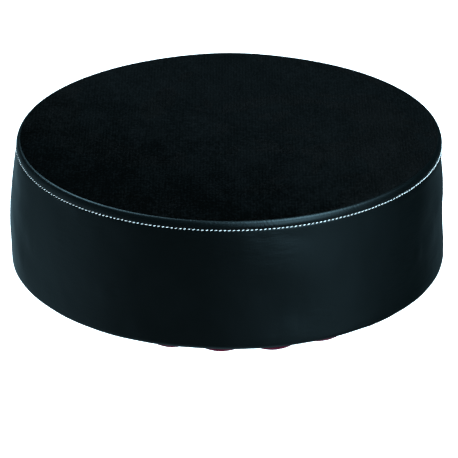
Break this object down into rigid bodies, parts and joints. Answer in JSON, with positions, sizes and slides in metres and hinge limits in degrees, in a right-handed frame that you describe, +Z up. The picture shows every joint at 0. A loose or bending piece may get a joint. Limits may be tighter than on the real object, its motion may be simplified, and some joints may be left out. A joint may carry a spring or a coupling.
{
  "type": "drum throne seat",
  "caption": "Round padded drum throne seat with a cloth top, a stitched side band, a plywood board and an underside bracket that clamps onto a seat post with a wing bolt.",
  "frame": {"origin": "centre of the post socket's mouth, the lowest plane of the seat's bracket", "axes": "+Z up through the middle of the seat along the post, -Y to the player's front as pictured, +Y towards the clamp's ears, +X towards the wing head"},
  "size_m": [0.3569, 0.357, 0.167],
  "materials": {
    "velour": "matte",
    "leathercloth": "satin",
    "thread": "matte",
    "topper_foam": "matte",
    "batting": "matte",
    "core_foam": "matte",
    "plywood": "matte",
    "zinc_plate": "satin",
    "dust_cloth": "matte",
    "powder_coat": "satin",
    "bush_plastic": "matte",
    "chrome_plate": "polished"
  },
  "bodies": {
    "seat": {"top_panel": "velour", "side_band": "leathercloth", "top_stitching": "thread", "foam_topper": "topper_foam", "side_padding": "batting", "foam_core": "core_foam", "seat_board": "plywood", "tee_nuts": "zinc_plate", "band_staples": "zinc_plate", "dust_cover": "dust_cloth", "dust_cover_staples": "zinc_plate", "bracket_plate": "powder_coat", "bracket_gussets": "powder_coat", "socket_tube": "powder_coat", "socket_bush": "bush_plastic", "clamp_collar": "chrome_plate", "clamp_nut": "zinc_plate", "bracket_bolts": "zinc_plate", "bracket_lock_washers": "zinc_plate", "bracket_washers": "zinc_plate"},
    "washer": {"clamp_washer": "zinc_plate"},
    "wing_bolt": {"clamp_bolt": "zinc_plate", "wing_head": "chrome_plate"}
  },
  "joints": [
    {"name": "wing_travel", "type": "slide", "parent": "seat", "child": "washer", "axis": [1, 0, 0], "range_m": [0, 0.00875]},
    {"name": "wing_turn", "type": "hinge", "parent": "washer", "child": "wing_bolt", "pos_m": [0.0111, 0.02965, 0.018], "axis": [1, 0, 0], "range_deg": [0, 2520]}
  ],
  "couplings": [
    {"joint": "wing_travel", "follows": "wing_turn", "m_per_rad": 0.00019894}
  ]
}
